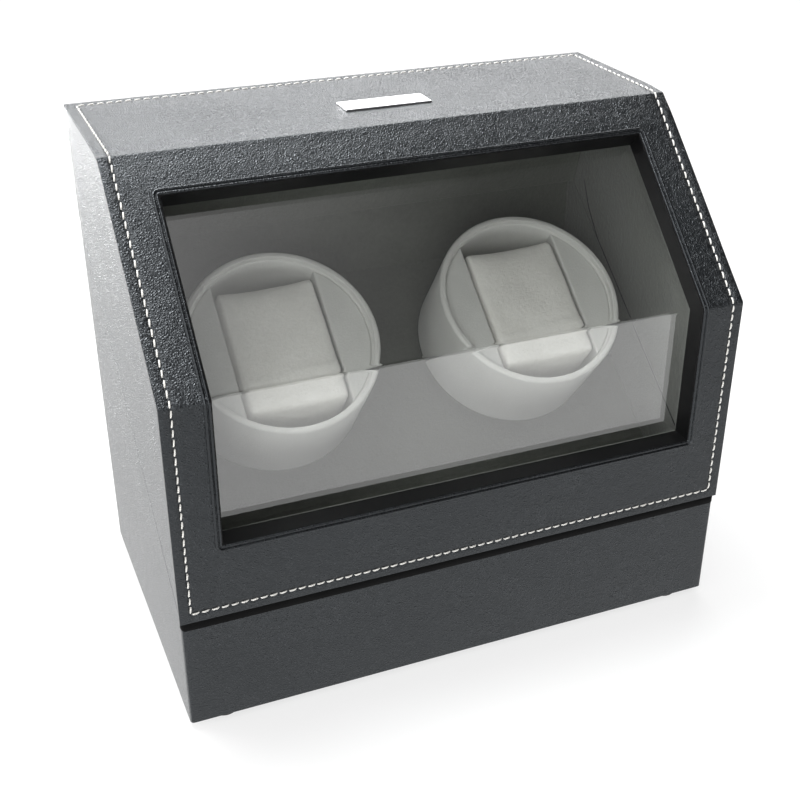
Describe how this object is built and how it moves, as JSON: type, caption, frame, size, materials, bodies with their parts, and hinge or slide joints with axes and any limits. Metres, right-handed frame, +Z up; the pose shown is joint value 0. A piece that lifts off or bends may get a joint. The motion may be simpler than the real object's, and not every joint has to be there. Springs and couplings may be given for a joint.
{
  "type": "watch winder box",
  "caption": "Leather-covered watch winder box with a hinged sloping-window lid over tilted turning cups that hold watch cushions.",
  "frame": {"origin": "centre of the footprint, at the height of the surface that the feet stand on", "axes": "+Z up, +X to the viewer's right, +Y to the back; the window faces -Y"},
  "size_m": [0.24, 0.1512, 0.2158],
  "materials": {
    "board": "raw fibreboard, matt",
    "black_leather": "black leatherette with a fine wrinkled grain, soft sheen",
    "underside_felt": "black felt paper",
    "rubber": "matt rubber",
    "grey_suede": "grey microfibre suede",
    "bush_nylon": "natural nylon",
    "steel": "zinc-plated",
    "hinge_metal": "dark nickel",
    "motor_metal": "plated can",
    "black_plastic": "moulded, fine texture",
    "knob_plastic": "matt moulded",
    "cell_jacket": "plain shrink jacket",
    "contact_metal": "nickel-plated",
    "circuit_board": "solder mask",
    "wire_jacket": "PVC jacket",
    "magnet": "nickel-plated",
    "gloss_black": "polished black",
    "clear_pane": "clear bent acrylic",
    "strip_black": "matt black strip",
    "white_thread": "waxed thread",
    "nameplate_metal": "brushed, bare",
    "cup_cream": "moulded, flocked cream-grey",
    "gear_nylon": "moulded nylon",
    "brass": "machined",
    "cushion_suede": "cream-grey microfibre suede"
  },
  "bodies": {
    "base": {"base_floor": "board", "base_left_board": "board", "base_right_board": "board", "base_front_board": "board", "base_back_board": "board", "base_leather": "black_leather", "underside_sheet": "underside_felt", "rubber_feet": "rubber", "base_lining": "grey_suede", "deck_board": "board", "deck_suede": "grey_suede", "deck_cleats": "board", "spindle_bushes": "bush_nylon", "motor_brackets": "steel", "gearmotors": "motor_metal", "machine_screws": "steel", "battery_tray": "black_plastic", "batteries": "cell_jacket", "battery_contacts": "contact_metal", "control_plate": "black_plastic", "dc_inlet": "black_plastic", "control_board": "circuit_board", "control_wires": "wire_jacket", "base_magnets": "magnet", "hinge_leaves_base": "hinge_metal", "hinge_pins": "steel", "hinge_screws_base": "steel"},
    "lid": {"lid_left_board": "board", "lid_right_board": "board", "lid_top_board": "board", "lid_back_board": "board", "lid_slant_frame": "board", "lid_front_frame": "board", "lid_leather_wrap": "black_leather", "lid_side_leather": "black_leather", "lid_back_leather": "black_leather", "window_bead": "black_leather", "jamb_liner": "gloss_black", "window_pane": "clear_pane", "pane_retainers": "strip_black", "lid_lining": "grey_suede", "lid_stitching": "white_thread", "nameplate": "nameplate_metal", "lid_magnets": "magnet", "hinge_leaves_lid": "hinge_metal", "hinge_screws_lid": "steel"},
    "battery_door": {"battery_door": "black_plastic"},
    "power_rocker": {"power_rocker": "black_plastic"},
    "mode_knob_left": {"mode_knob_left": "knob_plastic"},
    "mode_knob_right": {"mode_knob_right": "knob_plastic"},
    "cup_left": {"cup_left": "cup_cream", "cup_insert_left": "cup_cream", "drive_wheel_left": "gear_nylon"},
    "pinion_left": {"pinion_left": "brass"},
    "cushion_left": {"cushion_left": "cushion_suede"},
    "cup_right": {"cup_right": "cup_cream", "cup_insert_right": "cup_cream", "drive_wheel_right": "gear_nylon"},
    "pinion_right": {"pinion_right": "brass"},
    "cushion_right": {"cushion_right": "cushion_suede"}
  },
  "joints": [
    {"name": "lid_hinge", "type": "hinge", "parent": "base", "child": "lid", "pos_m": [0, 0.0734, 0.1661], "axis": [-1, 0, 0], "range_deg": [0, 100]},
    {"name": "battery_door_hinge", "type": "hinge", "parent": "base", "child": "battery_door", "pos_m": [0, 0.0692, 0.0117], "axis": [-1, 0, 0], "range_deg": [0, 90]},
    {"name": "power_rocker_tilt", "type": "hinge", "parent": "base", "child": "power_rocker", "pos_m": [0.026, 0.0643, 0.093], "axis": [-1, 0, 0], "range_deg": [0, 16]},
    {"name": "mode_knob_left_turn", "type": "hinge", "parent": "base", "child": "mode_knob_left", "pos_m": [-0.0085, 0.0651, 0.093], "axis": [0, 1, 0], "range_deg": [0, 270]},
    {"name": "mode_knob_right_turn", "type": "hinge", "parent": "base", "child": "mode_knob_right", "pos_m": [0.0085, 0.0651, 0.093], "axis": [0, 1, 0], "range_deg": [0, 270]},
    {"name": "cup_left_spin", "type": "hinge", "parent": "base", "child": "cup_left", "pos_m": [-0.0562, 0.0035, 0.11359], "axis": [0, -0.6134, 0.7898], "continuous": true},
    {"name": "pinion_left_spin", "type": "hinge", "parent": "base", "child": "pinion_left", "pos_m": [-0.0802, 0.0035, 0.11359], "axis": [0, -0.6134, 0.7898], "continuous": true},
    {"name": "cushion_left_slide", "type": "slide", "parent": "cup_left", "child": "cushion_left", "axis": [0, -0.6134, 0.7898], "range_m": [0, 0.032]},
    {"name": "cup_right_spin", "type": "hinge", "parent": "base", "child": "cup_right", "pos_m": [0.0562, 0.0035, 0.11359], "axis": [0, -0.6134, 0.7898], "continuous": true},
    {"name": "pinion_right_spin", "type": "hinge", "parent": "base", "child": "pinion_right", "pos_m": [0.0802, 0.0035, 0.11359], "axis": [0, -0.6134, 0.7898], "continuous": true},
    {"name": "cushion_right_slide", "type": "slide", "parent": "cup_right", "child": "cushion_right", "axis": [0, -0.6134, 0.7898], "range_m": [0, 0.032]}
  ],
  "couplings": [
    {"joint": "pinion_left_spin", "follows": "cup_left_spin", "ratio": -3},
    {"joint": "pinion_right_spin", "follows": "cup_right_spin", "ratio": -3}
  ]
}
